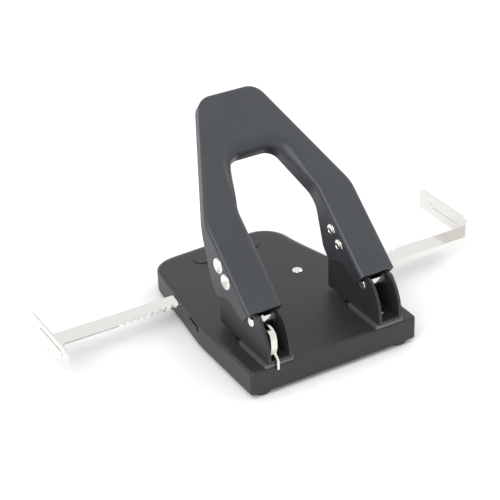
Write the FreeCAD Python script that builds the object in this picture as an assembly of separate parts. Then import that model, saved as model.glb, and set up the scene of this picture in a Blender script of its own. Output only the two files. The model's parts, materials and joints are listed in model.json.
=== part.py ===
"""Two-hole paper punch with an arch handle, a centring paper guide and a chip tray.

Millimetres. The origin is on the table, under the middle of the base.
+X runs along the front edge, +Y from the front edge to the paper side, +Z up.
Pieces are modelled with Y = 0 at the front edge and moved to the origin when written.
"""
import FreeCAD, Part
import math
import os
from FreeCAD import Vector

# ---------------------------------------------------------------- driving sizes
hole_spacing = 80.0          # distance between the two punched holes
hole_radius = 3.0            # punched hole
paper_margin = 12.0          # paper edge to hole centre
paper_length = 297.0         # guide plates stand this far apart when fully open
punch_travel = 7.1           # punch stroke over the whole handle stroke

sheet = 1.5                  # sheet of base, handle, arms and guides
running = 0.05               # radial clearance of a turning or sliding round fit
loose = 0.35                 # clearance of a slot around its pin, each side
over = 1.0                   # cutters run this far past the face they cut

# base
base_width = 120.4
base_depth = 159.0
base_straight = 66.0         # the sides run straight this far, then taper
base_taper = 7.0             # degrees, each side
base_rear_bow = 2.2          # the rear edge bulges by this much in the middle
base_front_round = 3.0
base_side_round = 90.0       # soft corner where the taper starts
base_rear_round = 24.0
base_bow_round = 300.0
base_edge_round = 2.2        # bend radius outside, front and sides
base_rear_edge_round = 11.0  # bend radius outside, rear edge
rear_zone = 8.0              # edges that end this close to the rear take the rear bend
skirt_height = 15.5
foot_height = 3.5
foot_radius = 7.5
foot_stem_radius = 2.4
foot_bulb_radius = 3.3
foot_bulb_tip = 1.8
foot_bulb_height = 2.2
foot_draft = 0.8
foot_recess_radius = 3.5
foot_recess_depth = 0.8
front_foot = (50.0, 8.5)
rear_foot = (35.0, 142.0)
foot_tab_reach = 9.0
tab_clearance = 5.0          # cutters for the top face start this far above the tabs
base_hole_clearance = 1.2    # around the punched hole, above the die
badge_length = 50.0
badge_width = 12.0
badge_height = 0.5
badge_y = 136.5

# towers
tower_half = 8.3             # half width over the walls
tower_wall = 2.0
tower_depth = 58.3
tower_top = 29.4             # above the base
tower_front_radius = 33.0
tower_front_rise = 5.0       # straight part of the front edge above the base
tower_shoulder = (9.0, 27.3)
tower_shoulder_bend = (1.6, 0.5)
tower_shoulder_run = 4.5
tower_corner = 3.0
throat = 2.4                 # paper gap
spacer_half = 10.3
spacer_front = 0.4
spacer_round = 1.6
pivot_y = 19.0
pivot_z = 23.0               # above the base
pivot_radius = 3.2
pivot_proud = 0.9
pivot_edge_round = 0.63
punch_guide_depth = 14.0
punch_guide_height = 9.0
guide_block_lift = 0.8       # block above the throat
die_size = 18.0
die_thickness = 2.0
die_corner = 1.5
die_rivet_inset = 2.6
die_rivet_neck = 2.4
die_rivet_head_radius = 3.0
die_rivet_head_height = 0.8
rivet_radius = 2.0
tower_rivet_front = 12.0     # rivet rows, from the base's front edge and from the paper stop
tower_rivet_rear = 7.0
rivet_head_radius = 3.5
rivet_head_height = 0.9
rivet_head_draft = 0.5

# punch
punch_tip_lift = 0.4         # tip inside the guide block at rest
drive_pin_radius = 2.0
drive_pin_z = 32.4           # above the base
drive_pin_setback = 0.2      # ends inside the arm's outer faces
drive_pin_chamfer = 0.4
punch_top_over_pin = 5.0
punch_chamfer = 0.6
tip_notch = 1.2
collar_radius = 4.3
collar_thickness = 1.2
collar_below_pin = 3.8
spring_wire = 0.8
spring_turns = 7.0

# handle, in its own plane: along the leg, and below the face
face_slope = 39.65           # degrees from the base
leg_foot_y = 15.05
leg_foot_z = 30.96
leg_outer = 53.2
leg_inner = 28.2
shoulder_s = 63.0            # where the outer edge turns inwards
top_s = 144.5
top_half = 20.9
window_shoulder_s = 66.0
window_top_s = 101.3
window_top_half = 15.9
shoulder_round = 26.0
top_round = 12.0
window_shoulder_round = 22.0
window_top_round = 10.0
face_round = 2.4
window_round = 3.2
window_top_bend = 8.0        # the bend over the window widens to this at the top
rim_depth = 9.0              # outer flange along the arch
window_rim_depth = 12.5      # flange around the window
lobe_s = 30.0
lobe_depth = 28.0
lobe_round = 5.0
lobe_nose = (5.0, 1.5)       # rear corner of the lobe, from its middle and its tip
lobe_heel = 4.0              # front corner of the lobe, from its middle
lobe_heel_round = 3.0
leg_end = (18.0, 15.5)       # where the front of the lobe meets the leg's end
leg_end_depth = 10.0
leg_end_round = 8.0
rim_turn_round = 12.0
window_rim_turn = 9.0        # the window's flange deepens this far before its shoulder
blank_foot_s = -30.0         # the blank runs past the leg's end before it is trimmed
blank_margin = 6.0
rivet_s = (26.5, 37.7)
rivet_d = 8.3
handle_rivet_radius = 2.5
outer_head_radius = 5.2
inner_head_radius = 4.0
outer_head_draft = 1.3
inner_head_draft = 0.8
outer_head_height = 1.4
inner_head_height = 1.1
dimple_radius = 1.6
dimple_depth = 0.3
spacer_tube_radius = 3.8

# lever arm inside each tower
arm_outer = 5.9
arm_sheet = 1.2
arm_end_s = 46.0
arm_heel = (0.0, 4.0)
arm_front_s = 6.0
arm_belly = ((46.0, 13.0), (31.0, 22.0), (24.0, 24.2), (16.0, 22.0), (-4.0, 13.6))
arm_rounds = (2.0, 4.0, 3.0, 4.0, 6.0, 3.0, 8.0, 2.0)
arm_web = (10.0, 42.0)
slot_overrun = 0.2           # the drive slot is this much longer than the stroke, each end
arm_gap = 0.2
hub_radius = 5.6

# lock lever inside the left tower
lock_offset = -2.6           # from the tower's middle plane
lock_thickness = 1.6
lock_hub_radius = 5.2
lock_tab = (8.2, 23.4)       # the bent thumb tab, from and to this height above the base
lock_tab_y = 6.5             # the tab ends this far back
lock_outline = ((13.0, 24.6), (5.4, 24.0), (1.6, 22.2), (0.3, 18.2), (0.2, 12.6), (1.5, 8.6),
                (1.3, 7.2), (-0.4, 6.4), (-2.0, 4.6), (-2.0, -1.9), (-0.5, -1.9), (-0.5, 4.9),
                (1.8, 6.6), (4.6, 6.8), (7.6, 10.0), (10.0, 14.5), (14.5, 18.4), (17.0, 20.0))
lock_rounds = (0.8, 2.0, 2.5, 3.0, 4.0, 2.0, 0.5, 0.6, 0.8, 0.6, 0.6, 1.0, 0.8, 1.2, 2.0, 2.0, 1.0, 0.5)

# paper guide
rack_module = 1.5
pinion_teeth = 12
rack_addendum = 1.0
pinion_addendum = 1.2
tooth_clearance = 0.3
backlash = 0.14
pressure_angle = 20.0
flank_steps = 5              # straight runs that make one side of a gear tooth
tooth_mouth = 0.2            # rack gaps open this far past the tips
guide_y = 89.0               # pinion centre from the front edge
bar_top = -2.8               # below the base's top face
bar_width = 13.1
bar_lip = 4.0
bar_corner = 2.0
lip_setback = 6.0            # the lip stops short of the bar's inner end
bar_inner_end = 15.0         # past the pinion when fully open
first_gap = 21               # outermost tooth gap, counted in pitches from the pinion
stop_length = 53.6
stop_middle_y = 93.2
stop_above = 12.4            # plate's upper edge above the base's top face
stop_lift = 0.5              # plate's lower edge above the bars
stop_round = 3.5
bead_length = 34.0
bead_width = 4.5
bead_depth = 0.5
bead_inset = 0.4
bead_y = 90.0
bead_z = 5.5                 # above the base's top face
slot_gap = 0.4
slot_inner_x = 45.0          # the slot cutters start here, inside the skirt
bridge_half = 34.0
bridge_gap = 0.2
bridge_setback = 1.2         # inside the bars' lips
bridge_corner = 4.0
bridge_rivet_x = 27.0
bridge_spacer_radius = 6.0
pinion_height = 2.4
pinion_pin_radius = 2.5
pinion_head_radius = 3.9

# chip tray
tray_inset = 3.2
tray_front = 19.0
tray_rear = 126.0
tray_wall = 1.6
tray_lift = 0.4              # tray floor above the skirt's lower edge
tray_height = 7.2
tray_hinge_y = 130.1
tray_hinge_rise = 4.0        # hinge axis above the skirt's lower edge
hinge_pin_radius = 1.5
hinge_pin_proud = 1.0
tray_ear_x = 14.0
tray_ear_thickness = 4.0
hinge_ear_x = 20.0
ear_half = 3.4
tongue_half = 10.0
tongue_reach = 5.0

# ---------------------------------------------------------------- derived sizes
base_top = foot_height + skirt_height
base_under = base_top - sheet
above_tabs = foot_height + tab_clearance
tower_x = hole_spacing / 2
paper_stop_y = tower_depth - 25.3
punch_y = paper_stop_y + paper_margin
slope = math.radians(face_slope)
leg_middle = (leg_outer + leg_inner) / 2
leg_half = (leg_outer - leg_inner) / 2
pitch_radius = rack_module * pinion_teeth / 2
pitch = math.pi * rack_module
rack_tip = pitch_radius - rack_addendum
rack_root = pitch_radius + pinion_addendum + tooth_clearance
bar_z = base_top + bar_top - sheet
stop_x = paper_length / 2
first_tooth_x = first_gap * pitch
X_AXIS = Vector(1, 0, 0)
Y_AXIS = Vector(0, 1, 0)
Z_AXIS = Vector(0, 0, 1)
EPS = 0.01


# ---------------------------------------------------------------- small helpers
def box(x0, x1, y0, y1, z0, z1):
    return Part.makeBox(x1 - x0, y1 - y0, z1 - z0, Vector(x0, y0, z0))


def rod(radius, start, length, axis=Z_AXIS):
    return Part.makeCylinder(radius, length, Vector(*start), axis)


def cross_rod(radius, x0, x1, y, z):
    return rod(radius, (x0, y, z), x1 - x0, X_AXIS)


def union(shapes):
    return shapes[0].multiFuse(shapes[1:]).removeSplitter()


def carved(shape, tools):
    for tool in tools:
        shape = shape.cut(tool)
    return shape.removeSplitter()


def rounded_wire(points, radii, plane):
    """Closed wire through points; each corner gets its own tangent arc (0 is sharp)."""
    corners = [plane(*point) for point in points]
    edges = []
    ends = []
    count = len(corners)
    for index, corner in enumerate(corners):
        before = (corners[index - 1] - corner).normalize()
        after = (corners[(index + 1) % count] - corner).normalize()
        half = before.getAngle(after) / 2
        if radii[index] == 0:
            ends.append((corner, corner))
            continue
        cut = radii[index] / math.tan(half)
        start = corner + before * cut
        finish = corner + after * cut
        middle = corner + (before + after).normalize() * (radii[index] / math.sin(half) - radii[index])
        edges.append(Part.Arc(start, middle, finish).toShape())
        ends.append((start, finish))
    for index in range(count):
        start = ends[index][1]
        finish = ends[(index + 1) % count][0]
        if start.distanceToPoint(finish) > EPS:
            edges.append(Part.LineSegment(start, finish).toShape())
    return Part.Wire(Part.__sortEdges__(edges))


def flat(x, y):
    return Vector(x, y, 0)


def side(y, z):
    return Vector(0, y, z)


def side_plate(points, radii, x0, x1):
    """Plate across X with an outline in Y and Z."""
    face = Part.Face(rounded_wire(points, radii, side))
    face.translate(Vector(x0, 0, 0))
    return face.extrude(Vector(x1 - x0, 0, 0))


def on_leg(s, d):
    """Y and Z of a point s along the handle's leg and d below its face."""
    y = leg_foot_y + s * math.cos(slope) + d * math.sin(slope)
    z = base_top + leg_foot_z + s * math.sin(slope) - d * math.cos(slope)
    return y, z


def tube(outer, inner, x0, x1, y, z):
    return cross_rod(outer, x0, x1, y, z).cut(cross_rod(inner, x0 - over, x1 + over, y, z))


# ---------------------------------------------------------------- base
def base_outline(inset):
    """Face of the base's footprint at Z = 0, drawn in from its outline by inset."""
    half = base_width / 2
    rear = base_depth - base_rear_bow
    rear_x = half - (rear - base_straight) * math.tan(math.radians(base_taper))
    points = [(-half, 0), (half, 0), (half, base_straight), (rear_x, rear),
              (0, base_depth), (-rear_x, rear), (-half, base_straight)]
    radii = [base_front_round, base_front_round, base_side_round, base_rear_round,
             base_bow_round, base_rear_round, base_side_round]
    shrunk = [radius - inset for radius in radii]
    return Part.Face(rounded_wire(drawn_in(points, inset), shrunk, flat))


def drawn_in(points, inset):
    """Corners of a convex outline after every side moves inwards by inset."""
    moved = []
    for index, (x, y) in enumerate(points):
        corner = Vector(x, y, 0)
        before = (Vector(*points[index - 1], 0) - corner).normalize()
        after = (Vector(*points[(index + 1) % len(points)], 0) - corner).normalize()
        half = before.getAngle(after) / 2
        corner += (before + after).normalize() * (inset / math.sin(half))
        moved.append((corner.x, corner.y))
    return moved


def upright(edge):
    first, last = edge.Vertexes[0].Point, edge.Vertexes[-1].Point
    return abs(first.x - last.x) < EPS and abs(first.y - last.y) < EPS


def base_prism(inset, z0, z1, edge_round=0.0, rear_round=0.0):
    face = base_outline(inset)
    face.translate(Vector(0, 0, z0))
    solid = face.extrude(Vector(0, 0, z1 - z0))
    return round_rim(solid, z1, edge_round, rear_round) if edge_round else solid


def round_rim(solid, level, edge_round, rear_round):
    """Round the top edge; the radius grows around the rear corners."""
    bends = []
    for index, edge in enumerate(solid.Edges):
        span = edge.BoundBox
        if abs(span.ZMin - level) > EPS or span.ZLength > EPS:
            continue
        start, end = edge.Vertexes[0].Point, edge.Vertexes[-1].Point
        if span.YMin > base_depth - base_rear_round - over and span.YMax > base_depth - rear_zone:
            radii = (rear_round, rear_round)
        elif span.YMax > base_depth - rear_zone:
            radii = (edge_round, rear_round) if start.y < end.y else (rear_round, edge_round)
        else:
            radii = (edge_round, edge_round)
        bends.append((index + 1,) + radii)
    return bent(solid, bends)


def bent(solid, bends):
    """Round edges given as (number, radius at the start, radius at the end)."""
    bend_doc = FreeCAD.newDocument("bend")
    blank = bend_doc.addObject("Part::Feature", "blank")
    blank.Shape = solid
    bend = bend_doc.addObject("Part::Fillet", "rounded")
    bend.Base = blank
    bend.Edges = bends
    bend_doc.recompute()
    rounded = bend.Shape.copy()
    FreeCAD.closeDocument(bend_doc.Name)
    return rounded.Solids[0]


def foot_places():
    for x, y in (front_foot, rear_foot):
        yield x, y
        yield -x, y


def guide_slot(y_sign, x_sign):
    """Slot in the skirt for one bar and its turned-down lip."""
    x0, x1 = sorted((x_sign * slot_inner_x, x_sign * (base_width / 2 + over)))
    inner = guide_y + y_sign * (rack_tip - slot_gap)
    outer = guide_y + y_sign * (rack_tip + bar_width + slot_gap)
    lip = outer - y_sign * (sheet + 2 * slot_gap)
    flat_part = box(x0, x1, min(inner, outer), max(inner, outer), bar_z - slot_gap, bar_z + sheet + slot_gap)
    lip_low = bar_z + sheet - bar_lip - slot_gap
    lip_part = box(x0, x1, min(lip, outer), max(lip, outer), lip_low, bar_z + sheet)
    return flat_part.fuse(lip_part)


def badge():
    """Blank raised oval on the paper side."""
    reach = badge_length / 2 - badge_width / 2
    half = badge_width / 2
    points = [(-reach - half, badge_y - half), (reach + half, badge_y - half),
              (reach + half, badge_y + half), (-reach - half, badge_y + half)]
    face = Part.Face(rounded_wire(points, [half - EPS] * 4, flat))
    face.translate(Vector(0, 0, base_top - badge_height))
    return face.extrude(Vector(0, 0, 2 * badge_height))


def make_base_plate():
    shell = base_prism(0, foot_height, base_top, base_edge_round, base_rear_edge_round)
    hollow = base_prism(sheet, foot_height - over, base_under,
                        base_edge_round - sheet, base_rear_edge_round - sheet)
    body = shell.cut(hollow)
    inside = base_prism(sheet - EPS, foot_height, foot_height + sheet)
    tabs = []
    for x, y in foot_places():
        outward = math.copysign(base_width / 2, x)
        x0, x1 = sorted((x - math.copysign(foot_tab_reach, x), outward))
        y0 = 0 if y < tray_front else y - foot_tab_reach
        y1 = y + foot_tab_reach if y < tray_front else base_depth
        tab = box(x0, x1, y0, y1, foot_height, foot_height + sheet).common(inside)
        tabs.append(tab.cut(rod(foot_stem_radius, (x, y, 0), base_top)))
    body = union([body, badge()] + tabs)
    cuts = [guide_slot(y_sign, x_sign) for y_sign in (-1, 1) for x_sign in (-1, 1)]
    for x_sign in (-1, 1):
        chip_hole = hole_radius + base_hole_clearance
        cuts.append(rod(chip_hole, (x_sign * tower_x, punch_y, foot_height), base_top))
        cuts.append(rod(rivet_radius, (x_sign * bridge_rivet_x, guide_y, above_tabs), base_top))
    for x, y in tower_rivet_places() + die_rivet_places():
        cuts.append(rod(rivet_radius, (x, y, above_tabs), base_top))
    cuts.append(rod(pinion_pin_radius, (0, guide_y, above_tabs), base_top))
    return carved(body, cuts)


def make_foot(x, y):
    pad = Part.makeCone(foot_radius - foot_draft, foot_radius, foot_height, Vector(x, y, 0), Z_AXIS)
    stem = rod(foot_stem_radius, (x, y, foot_height - EPS), sheet + 2 * EPS)
    bulb = Part.makeCone(foot_bulb_radius, foot_bulb_tip, foot_bulb_height,
                         Vector(x, y, foot_height + sheet), Z_AXIS)
    recess = rod(foot_recess_radius, (x, y, -EPS), foot_recess_depth + EPS)
    return union([pad, stem, bulb]).cut(recess)


# ---------------------------------------------------------------- towers
def tower_rivet_places():
    rows = (tower_rivet_front, paper_stop_y - tower_rivet_rear)
    return [(x_sign * tower_x, y) for x_sign in (-1, 1) for y in rows]


def die_rivet_places():
    reach = die_size / 2 - die_rivet_inset
    return [(x_sign * tower_x + side_sign * reach, punch_y + side_sign * reach)
            for x_sign in (-1, 1) for side_sign in (-1, 1)]


def make_throat_spacer(x):
    points = [(x - spacer_half, spacer_front), (x + spacer_half, spacer_front),
              (x + spacer_half, paper_stop_y), (x - spacer_half, paper_stop_y)]
    face = Part.Face(rounded_wire(points, [spacer_round] * 4, flat))
    face.translate(Vector(0, 0, base_top))
    plate = face.extrude(Vector(0, 0, throat))
    return plate.cut([rod(rivet_radius, (*place, 0), base_top * 2) for place in tower_rivet_places()])


def tower_wall_plate(x0, x1):
    floor = base_top + throat
    top = base_top + tower_top
    centre = Vector(x0, tower_front_radius, base_top + tower_front_rise)
    shoulder = Vector(x0, tower_shoulder[0], base_top + tower_shoulder[1])
    start = Vector(x0, 0, base_top + tower_front_rise)
    half_way = ((start + shoulder) * 0.5 - centre).normalize() * tower_front_radius + centre
    corner = Vector(x0, tower_shoulder[0] + tower_shoulder_bend[0], top - tower_shoulder_bend[1])
    flat_start = Vector(x0, tower_shoulder[0] + tower_shoulder_run, top)
    rear_top = Vector(x0, tower_depth - tower_corner, top)
    rear_low = Vector(x0, tower_depth, top - tower_corner)
    shy = tower_corner * (1 - math.sqrt(0.5))
    bend = Vector(x0, tower_depth - shy, top - shy)
    edges = [
        Part.LineSegment(Vector(x0, 0, floor), start).toShape(),
        Part.Arc(start, half_way, shoulder).toShape(),
        Part.Arc(shoulder, corner, flat_start).toShape(),
        Part.LineSegment(flat_start, rear_top).toShape(),
        Part.Arc(rear_top, bend, rear_low).toShape(),
        Part.LineSegment(rear_low, Vector(x0, tower_depth, floor)).toShape(),
        Part.LineSegment(Vector(x0, tower_depth, floor), Vector(x0, 0, floor)).toShape(),
    ]
    return Part.Face(Part.Wire(edges)).extrude(Vector(x1 - x0, 0, 0))


def make_tower(x):
    inner = tower_half - tower_wall
    walls = [tower_wall_plate(x - tower_half, x - inner), tower_wall_plate(x + inner, x + tower_half)]
    floor_z = base_top + throat
    floor = box(x - inner - EPS, x + inner + EPS, 0, paper_stop_y, floor_z, floor_z + tower_wall)
    rear_top = base_top + tower_top - tower_corner
    rear = box(x - inner - EPS, x + inner + EPS, tower_depth - tower_wall, tower_depth,
               floor_z + tower_wall, rear_top)
    body = union(walls + [floor, rear])
    cuts = [rod(rivet_radius, (place[0], place[1], 0), base_top * 2) for place in tower_rivet_places()]
    reach = tower_half + over
    cuts.append(cross_rod(pivot_radius, x - reach, x + reach, pivot_y, base_top + pivot_z))
    return body.cut(cuts)


def make_rivet(x, y, low, high):
    """Solid rivet from the sheet's lower face to the upper one, with a flat head at each end."""
    shank = rod(rivet_radius, (x, y, low), high - low)
    head = Part.makeCone(rivet_head_radius, rivet_head_radius - rivet_head_draft, rivet_head_height,
                         Vector(x, y, high), Z_AXIS)
    foot = Part.makeCone(rivet_head_radius - rivet_head_draft, rivet_head_radius, rivet_head_height,
                         Vector(x, y, low - rivet_head_height), Z_AXIS)
    return union([shank, head, foot])


def make_tower_rivets():
    top = base_top + throat + tower_wall
    return Part.makeCompound([make_rivet(x, y, base_under, top) for x, y in tower_rivet_places()])


def make_die(x):
    half = die_size / 2
    plate = box(x - half, x + half, punch_y - half, punch_y + half, base_under - die_thickness, base_under)
    corners = [edge for edge in plate.Edges if upright(edge)]
    plate = plate.makeFillet(die_corner, corners)
    cuts = [rod(rivet_radius, (place[0], place[1], 0), base_top) for place in die_rivet_places()]
    return plate.cut([rod(hole_radius + running, (x, punch_y, 0), base_top)] + cuts)


def make_die_rivets():
    """Flush on the paper side, headed under the die."""
    rivets = []
    for x, y in die_rivet_places():
        low = base_under - die_thickness
        shank = rod(rivet_radius, (x, y, low), base_top - low)
        foot = Part.makeCone(die_rivet_neck, die_rivet_head_radius, die_rivet_head_height,
                             Vector(x, y, low - die_rivet_head_height), Z_AXIS)
        rivets.append(union([shank, foot]))
    return Part.makeCompound(rivets)


def make_punch_guide(x):
    inner = tower_half - tower_wall
    low = base_top + throat + guide_block_lift
    half = punch_guide_depth / 2
    block = box(x - inner, x + inner, punch_y - half, punch_y + half, low, low + punch_guide_height)
    return block.cut(rod(hole_radius + running, (x, punch_y, low - over), punch_guide_height + 2 * over))


def make_pivot_pin(x):
    pin = cross_rod(pivot_radius, x - tower_half - pivot_proud, x + tower_half + pivot_proud,
                    pivot_y, base_top + pivot_z)
    ends = [edge for edge in pin.Edges if edge.BoundBox.XLength < EPS]
    return pin.makeFillet(pivot_edge_round, ends)


# ---------------------------------------------------------------- punches
def punch_low():
    return base_top + throat + guide_block_lift + punch_tip_lift


def collar_low():
    return base_top + drive_pin_z - collar_below_pin - collar_thickness


def make_punch_pin(x):
    top = base_top + drive_pin_z + punch_top_over_pin
    pin = rod(hole_radius, (x, punch_y, punch_low()), top - punch_low())
    crown = [edge for edge in pin.Edges if abs(edge.BoundBox.ZMin - top) < EPS]
    pin = pin.makeChamfer(punch_chamfer, crown)
    reach = hole_radius + over
    notch_points = [(punch_y - reach, punch_low() - over), (punch_y + reach, punch_low() - over),
                    (punch_y, punch_low() + tip_notch)]
    notch = side_plate(notch_points, [0, 0, 0], x - reach, x + reach)
    bore = cross_rod(drive_pin_radius, x - reach, x + reach, punch_y, base_top + drive_pin_z)
    return pin.cut([notch, bore])


def make_drive_pin(x):
    reach = arm_outer - drive_pin_setback
    pin = cross_rod(drive_pin_radius, x - reach, x + reach, punch_y, base_top + drive_pin_z)
    ends = [edge for edge in pin.Edges if edge.BoundBox.XLength < EPS]
    return pin.makeChamfer(drive_pin_chamfer, ends)


def make_spring_collar(x):
    ring = rod(collar_radius, (x, punch_y, collar_low()), collar_thickness)
    return ring.cut(rod(hole_radius, (x, punch_y, collar_low() - over), collar_thickness + 2 * over))


def make_return_spring(x):
    low = base_top + throat + guide_block_lift + punch_guide_height + spring_wire / 2
    high = collar_low() - spring_wire / 2
    coil_radius = collar_radius - spring_wire / 2
    helix = Part.makeHelix((high - low) / spring_turns, high - low, coil_radius)
    ring = Part.Wire(Part.Circle(Vector(coil_radius, 0, 0), Y_AXIS, spring_wire / 2).toShape())
    coil = Part.Wire(helix).makePipeShell([ring], True, True)
    coil.translate(Vector(x, punch_y, low))
    return coil


# ---------------------------------------------------------------- handle
def arch_face(points, radii, grow):
    both = points + [(-x, s) for x, s in reversed(points)]
    face = Part.Face(rounded_wire(both, radii + list(reversed(radii)), flat))
    return face.makeOffset2D(grow) if grow else face


def arch_prism(points, radii, grow, high, low):
    face = arch_face(points, radii, grow)
    face.translate(Vector(0, 0, high))
    return face.extrude(Vector(0, 0, low - high))


def rim_keeper(depth, turn_s, x_reach):
    """Region of the handle's side view that a flange fills, in the handle's own frame."""
    far = 2 * top_s
    nose_s, nose_lift = lobe_nose
    points = [(0, over), (far, over), (far, -depth), (turn_s, -depth),
              (lobe_s + nose_s, nose_lift - lobe_depth), (lobe_s - lobe_heel, -lobe_depth),
              (leg_end[0], -leg_end[1]), (0, -leg_end_depth)]
    radii = [0, 0, 0, rim_turn_round, lobe_round, lobe_heel_round, leg_end_round, 0]
    return side_plate(points, radii, -x_reach, x_reach)


def make_handle():
    outer = [(leg_outer, blank_foot_s), (leg_outer, shoulder_s), (top_half, top_s)]
    outer_radii = [0, shoulder_round, top_round]
    window = [(leg_inner, blank_foot_s - over), (leg_inner, window_shoulder_s),
              (window_top_half, window_top_s)]
    window_radii = [0, window_shoulder_round, window_top_round]
    deep = -lobe_depth - blank_margin
    shell = arch_prism(outer, outer_radii, 0, 0, deep)
    crown = [edge for edge in shell.Edges
             if abs(edge.BoundBox.ZMin) < EPS and edge.BoundBox.ZLength < EPS
             and edge.CenterOfMass.y > blank_foot_s + over]
    shell = shell.makeFillet(face_round, crown)
    hollow = arch_prism(outer, outer_radii, -sheet, -sheet, deep - over)
    pan = shell.cut(hollow).common(rim_keeper(rim_depth, shoulder_s, base_width))
    sleeve = arch_prism(window, window_radii, sheet, 0, deep)
    sleeve = sleeve.common(rim_keeper(window_rim_depth, window_shoulder_s - window_rim_turn, base_width))
    opening = arch_prism(window, window_radii, 0, over, deep - over)
    body = pan.fuse(sleeve).cut(opening).removeSplitter()
    body = round_window_edge(body)
    body.rotate(Vector(0, 0, 0), X_AXIS, face_slope)
    body.translate(Vector(0, leg_foot_y, base_top + leg_foot_z))
    for x_sign in (-1, 1):
        for s in rivet_s:
            y, z = on_leg(s, rivet_d)
            middle = x_sign * leg_middle
            reach = leg_half + over
            body = body.cut(cross_rod(handle_rivet_radius, middle - reach, middle + reach, y, z))
    return body


def round_window_edge(body):
    """Bend where the face turns down into the window, inside first; it widens towards the top."""
    turn_s = (window_shoulder_s + window_top_s) / 2
    for level, thinner, reach in ((-sheet, sheet, sheet), (0.0, 0.0, 0.0)):
        bends = []
        for index, edge in enumerate(body.Edges):
            span = edge.BoundBox
            level_edge = abs(span.ZMin - level) < EPS and span.ZLength < EPS
            inside = max(abs(span.XMin), abs(span.XMax)) < leg_inner + reach + EPS
            if level_edge and inside and EPS < span.YMax < window_top_s + reach + EPS and edge.Length > over:
                ends = (edge.Vertexes[0].Point.y, edge.Vertexes[-1].Point.y)
                radii = [(window_top_bend if s > turn_s else window_round) - thinner for s in ends]
                bends.append((index + 1, *radii))
        body = bent(body, bends)
    return body


def make_lever_arm(x):
    inner = arm_outer - arm_sheet
    pivot = (pivot_y, base_top + pivot_z)
    face = sheet + arm_gap
    outline = (arm_heel, (arm_front_s, face), (arm_end_s, face)) + arm_belly
    points = [on_leg(s, d) for s, d in outline]
    cheeks = []
    for x0, x1 in ((x - arm_outer, x - inner), (x + inner, x + arm_outer)):
        hub = cross_rod(hub_radius, x0, x1, *pivot)
        cheeks.append(side_plate(points, arm_rounds, x0, x1).fuse(hub))
    web_start, web_end = arm_web
    web_points = [on_leg(s, d) for s, d in ((web_start, face), (web_end, face),
                                            (web_end, face + sheet), (web_start, face + sheet))]
    web = side_plate(web_points, [0, 0, 0, 0], x - inner - EPS, x + inner + EPS)
    body = union(cheeks + [web])
    cuts = [cross_rod(pivot_radius + running, x - tower_half, x + tower_half, *pivot)]
    for s in rivet_s:
        cuts.append(cross_rod(handle_rivet_radius, x - tower_half, x + tower_half, *on_leg(s, rivet_d)))
    cuts.append(drive_slot(x))
    return body.cut(cuts)


def drive_slot(x):
    """Slot that lets the drive pin go straight down while the arm swings."""
    reach_y = punch_y - pivot_y
    rest_z = drive_pin_z - pivot_z
    far = math.hypot(reach_y, rest_z) + slot_overrun
    near = math.hypot(reach_y, rest_z - punch_travel) - slot_overrun
    angle = math.atan2(rest_z, reach_y)
    radius = drive_pin_radius + loose
    along = Vector(0, math.cos(angle), math.sin(angle))
    across = Vector(0, -math.sin(angle), math.cos(angle))
    centre = Vector(x - tower_half, pivot_y, base_top + pivot_z)
    corners = [centre + along * near + across * radius, centre + along * far + across * radius,
               centre + along * far - across * radius, centre + along * near - across * radius]
    middle = Part.Face(Part.makePolygon(corners + [corners[0]])).extrude(Vector(2 * tower_half, 0, 0))
    ends = []
    for distance in (near, far):
        spot = centre + along * distance
        ends.append(cross_rod(radius, x - tower_half, x + tower_half, spot.y, spot.z))
    return union([middle] + ends)


def make_handle_rivets(x_sign):
    """Two rivets through one leg, with the large head outside and the small one inside."""
    solids = []
    outside = x_sign * leg_outer
    inside = x_sign * leg_inner
    for s in rivet_s:
        y, z = on_leg(s, rivet_d)
        shank = rod(handle_rivet_radius, (inside, y, z), 2 * leg_half, Vector(x_sign, 0, 0))
        head = Part.makeCone(outer_head_radius, outer_head_radius - outer_head_draft, outer_head_height,
                             Vector(outside, y, z), Vector(x_sign, 0, 0))
        tail = Part.makeCone(inner_head_radius, inner_head_radius - inner_head_draft, inner_head_height,
                             Vector(inside, y, z), Vector(-x_sign, 0, 0))
        start = (inside - x_sign * (inner_head_height + over), y, z)
        dimple = rod(dimple_radius, start, over + dimple_depth, Vector(x_sign, 0, 0))
        solids.append(union([shank, head, tail]).cut(dimple))
    return Part.makeCompound(solids)


def make_arm_spacers(x_sign):
    """Tubes that hold the arm in the middle of the leg."""
    middle = x_sign * tower_x
    solids = []
    for s in rivet_s:
        y, z = on_leg(s, rivet_d)
        out_face = x_sign * (leg_outer - sheet)
        in_face = x_sign * (leg_inner + sheet)
        arm_out = middle + x_sign * arm_outer
        arm_in = middle - x_sign * arm_outer
        for a, b in ((out_face, arm_out), (arm_in, in_face)):
            solids.append(tube(spacer_tube_radius, handle_rivet_radius, min(a, b), max(a, b), y, z))
    return Part.makeCompound(solids)


# ---------------------------------------------------------------- lock lever
def lock_thumb_tab(points, x1):
    """Front edge of the lever, bent sideways towards the tower's outer wall."""
    x0 = -tower_x - tower_half + tower_wall + loose
    band = side_plate(points, lock_rounds, x0, x1 + EPS)
    behind = band.copy()
    behind.translate(Vector(0, lock_thickness, 0))
    low, high = lock_tab
    span = box(x0, x1 + EPS, -tower_depth, lock_tab_y, base_top + low, base_top + high)
    return band.cut(behind).common(span)


def make_lock_lever():
    x0 = -tower_x + lock_offset - lock_thickness / 2
    x1 = x0 + lock_thickness
    points = [(y, base_top + z) for y, z in lock_outline]
    hub = cross_rod(lock_hub_radius, x0, x1, pivot_y, base_top + pivot_z)
    body = union([side_plate(points, lock_rounds, x0, x1), hub, lock_thumb_tab(points, x0)])
    return body.cut(cross_rod(pivot_radius + running, x0 - over, x1 + over, pivot_y, base_top + pivot_z))


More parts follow.
